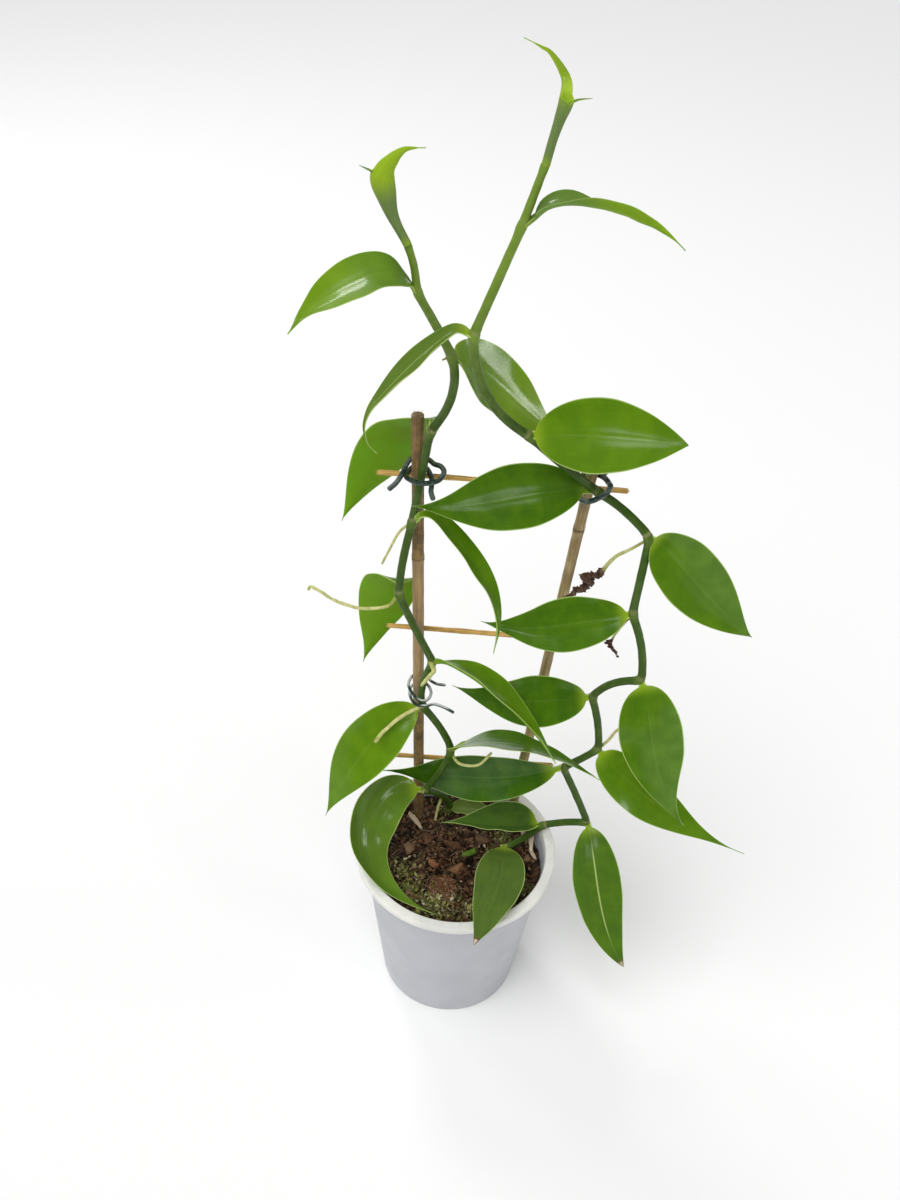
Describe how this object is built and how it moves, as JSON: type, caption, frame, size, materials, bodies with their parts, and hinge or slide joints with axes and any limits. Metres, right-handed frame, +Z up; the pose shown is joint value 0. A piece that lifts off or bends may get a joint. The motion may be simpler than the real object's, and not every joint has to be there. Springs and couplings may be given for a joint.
{
  "type": "potted vanilla orchid",
  "caption": "Climbing vanilla orchid with glossy pointed leaves on two vines, tied to a bamboo ladder in a round nursery pot.",
  "frame": {"origin": "middle of the pot's flat underside", "axes": "+Z up, the ladder's rungs run along X, and the side the plant is seen from faces -Y"},
  "size_m": [0.2493, 0.1322, 0.571],
  "materials": {
    "pot": "moulded, pale blue-grey",
    "soil": "moist bark, moss and soil",
    "bamboo": "weathered bamboo",
    "split_bamboo": "split bamboo",
    "vine": "smooth green stem",
    "leaf": "glossy green leaf",
    "root": "pale green-white root",
    "crumbs": "crumbled bark",
    "tie": "soft dark green tie"
  },
  "bodies": {
    "root": {"pot": "pot", "soil": "soil", "cane_left": "bamboo", "cane_right": "bamboo", "rung_top": "split_bamboo", "rung_middle": "split_bamboo", "rung_bottom": "split_bamboo", "vine_a": "vine", "vine_b": "vine", "cut_stub": "vine", "leaf_a0": "leaf", "leaf_a1": "leaf", "leaf_a2": "leaf", "leaf_a3": "leaf", "leaf_a4": "leaf", "leaf_a5": "leaf", "leaf_a6": "leaf", "leaf_a7": "leaf", "leaf_a8": "leaf", "leaf_a9": "leaf", "leaf_a10": "leaf", "leaf_b0": "leaf", "leaf_b1": "leaf", "leaf_b2": "leaf", "leaf_b3": "leaf", "leaf_b4": "leaf", "leaf_b5": "leaf", "leaf_b6": "leaf", "leaf_b7": "leaf", "leaf_b8": "leaf", "leaf_b9": "leaf", "leaf_b10": "leaf", "leaf_b11": "leaf", "leaf_b12": "leaf", "leaf_b13": "leaf", "root_a1": "root", "root_a2": "root", "root_a3": "root", "root_a4": "root", "root_a5": "root", "root_a6": "root", "root_b4": "root", "root_b7": "root", "root_b8": "root", "crumbs_high": "crumbs", "crumbs_low": "crumbs", "tie_top_left": "tie", "tie_top_right": "tie", "tie_lower": "tie"}
  },
  "joints": []
}
